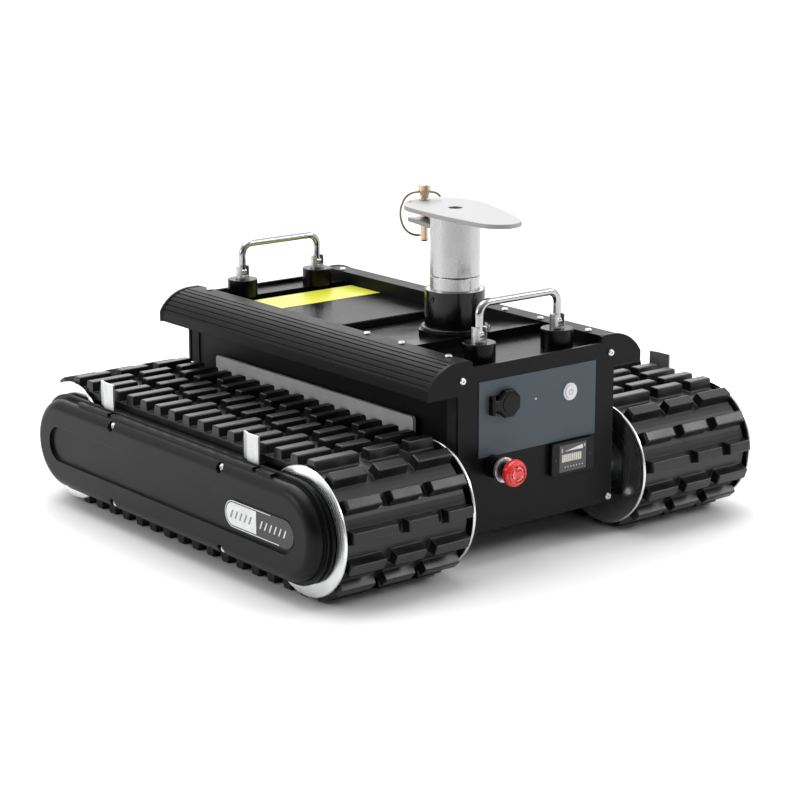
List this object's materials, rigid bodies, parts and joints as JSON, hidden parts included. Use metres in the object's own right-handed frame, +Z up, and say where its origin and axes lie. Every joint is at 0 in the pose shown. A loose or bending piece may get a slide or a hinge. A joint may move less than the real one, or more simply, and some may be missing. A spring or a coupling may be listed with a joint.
{
  "type": "tracked trailer mover",
  "caption": "Low tracked mover robot with two rubber crawler tracks, a central chassis, fold-down lifting handles and a telescoping mast with a swivelling coupling plate.",
  "frame": {"origin": "on the ground under the middle of the machine", "axes": "+X across the machine to its right seen from behind the mast, +Z up; the end with the control panel faces -Y"},
  "size_m": [0.656, 0.6253, 0.3945],
  "materials": {
    "badge_plate": "two-tone blank plate",
    "battery_grey": "moulded case",
    "black_plastic": "moulded black",
    "black_powder": "satin black powder coat",
    "black_sheet": "satin black anodised sheet",
    "cast_alu": "cast",
    "cover_plastic": "fine grained black",
    "deck_gloss": "smooth glossy black",
    "drum_rubber": "matt black",
    "gloss_black": "dark window",
    "label_yellow": "reflective yellow",
    "lamp": "translucent lamp",
    "mast_steel": "brushed",
    "motor_grey": "painted",
    "panel_blue": "printed overlay",
    "polished_steel": "polished stainless",
    "red_plastic": "glossy red",
    "screw_steel": "zinc plated",
    "silver_disc": "turned, satin",
    "sleeve_gloss": "glossy black",
    "strip_grey": "mill finish",
    "tab_aluminium": "mill finish",
    "track_rubber": "matt moulded rubber",
    "white_plastic": "white",
    "zinc_gold": "yellow-passivated zinc"
  },
  "bodies": {
    "chassis": {"axle_bearings": "cast_alu", "battery_pack": "battery_grey", "battery_tray": "black_sheet", "charge_port": "black_plastic", "chassis_screws": "screw_steel", "chassis_shell": "black_powder", "cover_badges": "badge_plate", "cover_screws": "screw_steel", "frame_plates": "black_powder", "front_deck": "deck_gloss", "front_plate": "black_sheet", "gauge_bezel": "black_plastic", "gauge_window": "gloss_black", "gear_motors": "motor_grey", "guard_strips": "strip_grey", "guide_tabs": "tab_aluminium", "handle_clevises": "polished_steel", "handle_pads": "black_plastic", "handle_pivot_pins": "screw_steel", "left_cover": "cover_plastic", "left_track_belt": "track_rubber", "left_wing": "black_powder", "lid_hinge_bar": "screw_steel", "mast_bush": "polished_steel", "motor_controller": "cast_alu", "panel_overlay": "panel_blue", "post_deck": "deck_gloss", "post_sleeve": "sleeve_gloss", "power_switch": "white_plastic", "rear_deck": "deck_gloss", "rear_plate": "black_sheet", "right_cover": "cover_plastic", "right_track_belt": "track_rubber", "right_wing": "black_powder", "sleeve_set_screws": "screw_steel", "slider_beds": "black_sheet", "status_led": "lamp", "stop_base": "black_plastic", "stop_bezel": "polished_steel"},
    "mast": {"mast_tube": "mast_steel"},
    "turret": {"turret_tube": "mast_steel", "coupling_plate": "mast_steel", "lynch_pin": "zinc_gold"},
    "ring": {"lynch_ring": "zinc_gold"},
    "front_handle": {"front_handle": "polished_steel"},
    "rear_handle": {"rear_handle": "polished_steel"},
    "lid": {"battery_lid": "black_sheet", "lid_label": "label_yellow"},
    "port_cap": {"port_cap": "black_plastic"},
    "stop_plunger": {"stop_stem": "screw_steel"},
    "stop_head": {"stop_head": "red_plastic"},
    "power_cap": {"power_cap": "white_plastic"},
    "left_front_axle": {"left_front_drum": "drum_rubber", "left_front_axle": "silver_disc"},
    "left_rear_axle": {"left_rear_drum": "drum_rubber", "left_rear_axle": "silver_disc"},
    "right_front_axle": {"right_front_drum": "drum_rubber", "right_front_axle": "silver_disc"},
    "right_rear_axle": {"right_rear_drum": "drum_rubber", "right_rear_axle": "silver_disc"}
  },
  "joints": [
    {"name": "left_rear_axle_spin", "type": "hinge", "parent": "chassis", "child": "left_rear_axle", "pos_m": [-0.2155, 0.235, 0.0775], "axis": [1, 0, 0], "continuous": true},
    {"name": "left_front_axle_spin", "type": "hinge", "parent": "chassis", "child": "left_front_axle", "pos_m": [-0.2155, -0.235, 0.0775], "axis": [1, 0, 0], "continuous": true},
    {"name": "right_rear_axle_spin", "type": "hinge", "parent": "chassis", "child": "right_rear_axle", "pos_m": [0.2155, 0.235, 0.0775], "axis": [1, 0, 0], "continuous": true},
    {"name": "right_front_axle_spin", "type": "hinge", "parent": "chassis", "child": "right_front_axle", "pos_m": [0.2155, -0.235, 0.0775], "axis": [1, 0, 0], "continuous": true},
    {"name": "mast_height", "type": "slide", "parent": "chassis", "child": "mast", "axis": [0, 0, 1], "range_m": [0, 0.05]},
    {"name": "turret_swivel", "type": "hinge", "parent": "mast", "child": "turret", "pos_m": [0, -0.118, 0.3], "axis": [0, 0, 1], "continuous": true},
    {"name": "lynch_ring_swing", "type": "hinge", "parent": "turret", "child": "ring", "pos_m": [0.00646, -0.05436, 0.3853], "axis": [0.7815, -0.6239, 0], "range_deg": [0, 150]},
    {"name": "front_handle_fold", "type": "hinge", "parent": "chassis", "child": "front_handle", "pos_m": [0, -0.229, 0.256], "axis": [1, 0, 0], "range_deg": [0, 90]},
    {"name": "rear_handle_fold", "type": "hinge", "parent": "chassis", "child": "rear_handle", "pos_m": [0, 0.226, 0.256], "axis": [-1, 0, 0], "range_deg": [0, 90]},
    {"name": "lid_hinge", "type": "hinge", "parent": "chassis", "child": "lid", "pos_m": [0, 0.2, 0.216], "axis": [-1, 0, 0], "range_deg": [0, 80]},
    {"name": "port_cap_hinge", "type": "hinge", "parent": "chassis", "child": "port_cap", "pos_m": [-0.0705, -0.2688, 0.1835], "axis": [0, 0, -1], "range_deg": [0, 120]},
    {"name": "stop_press", "type": "slide", "parent": "chassis", "child": "stop_plunger", "axis": [0, 1, 0], "range_m": [0, 0.004]},
    {"name": "stop_twist", "type": "hinge", "parent": "stop_plunger", "child": "stop_head", "pos_m": [-0.0675, -0.29, 0.1142], "axis": [0, -1, 0], "range_deg": [0, 45], "stiffness_Nm_per_rad": 0.05},
    {"name": "power_press", "type": "slide", "parent": "chassis", "child": "power_cap", "axis": [0, 1, 0], "range_m": [0, 0.0012], "stiffness_N_per_m": 1500, "springref_m": -0.0005}
  ],
  "couplings": [
    {"joint": "left_front_axle_spin", "follows": "left_rear_axle_spin", "ratio": 1},
    {"joint": "right_front_axle_spin", "follows": "right_rear_axle_spin", "ratio": 1}
  ]
}
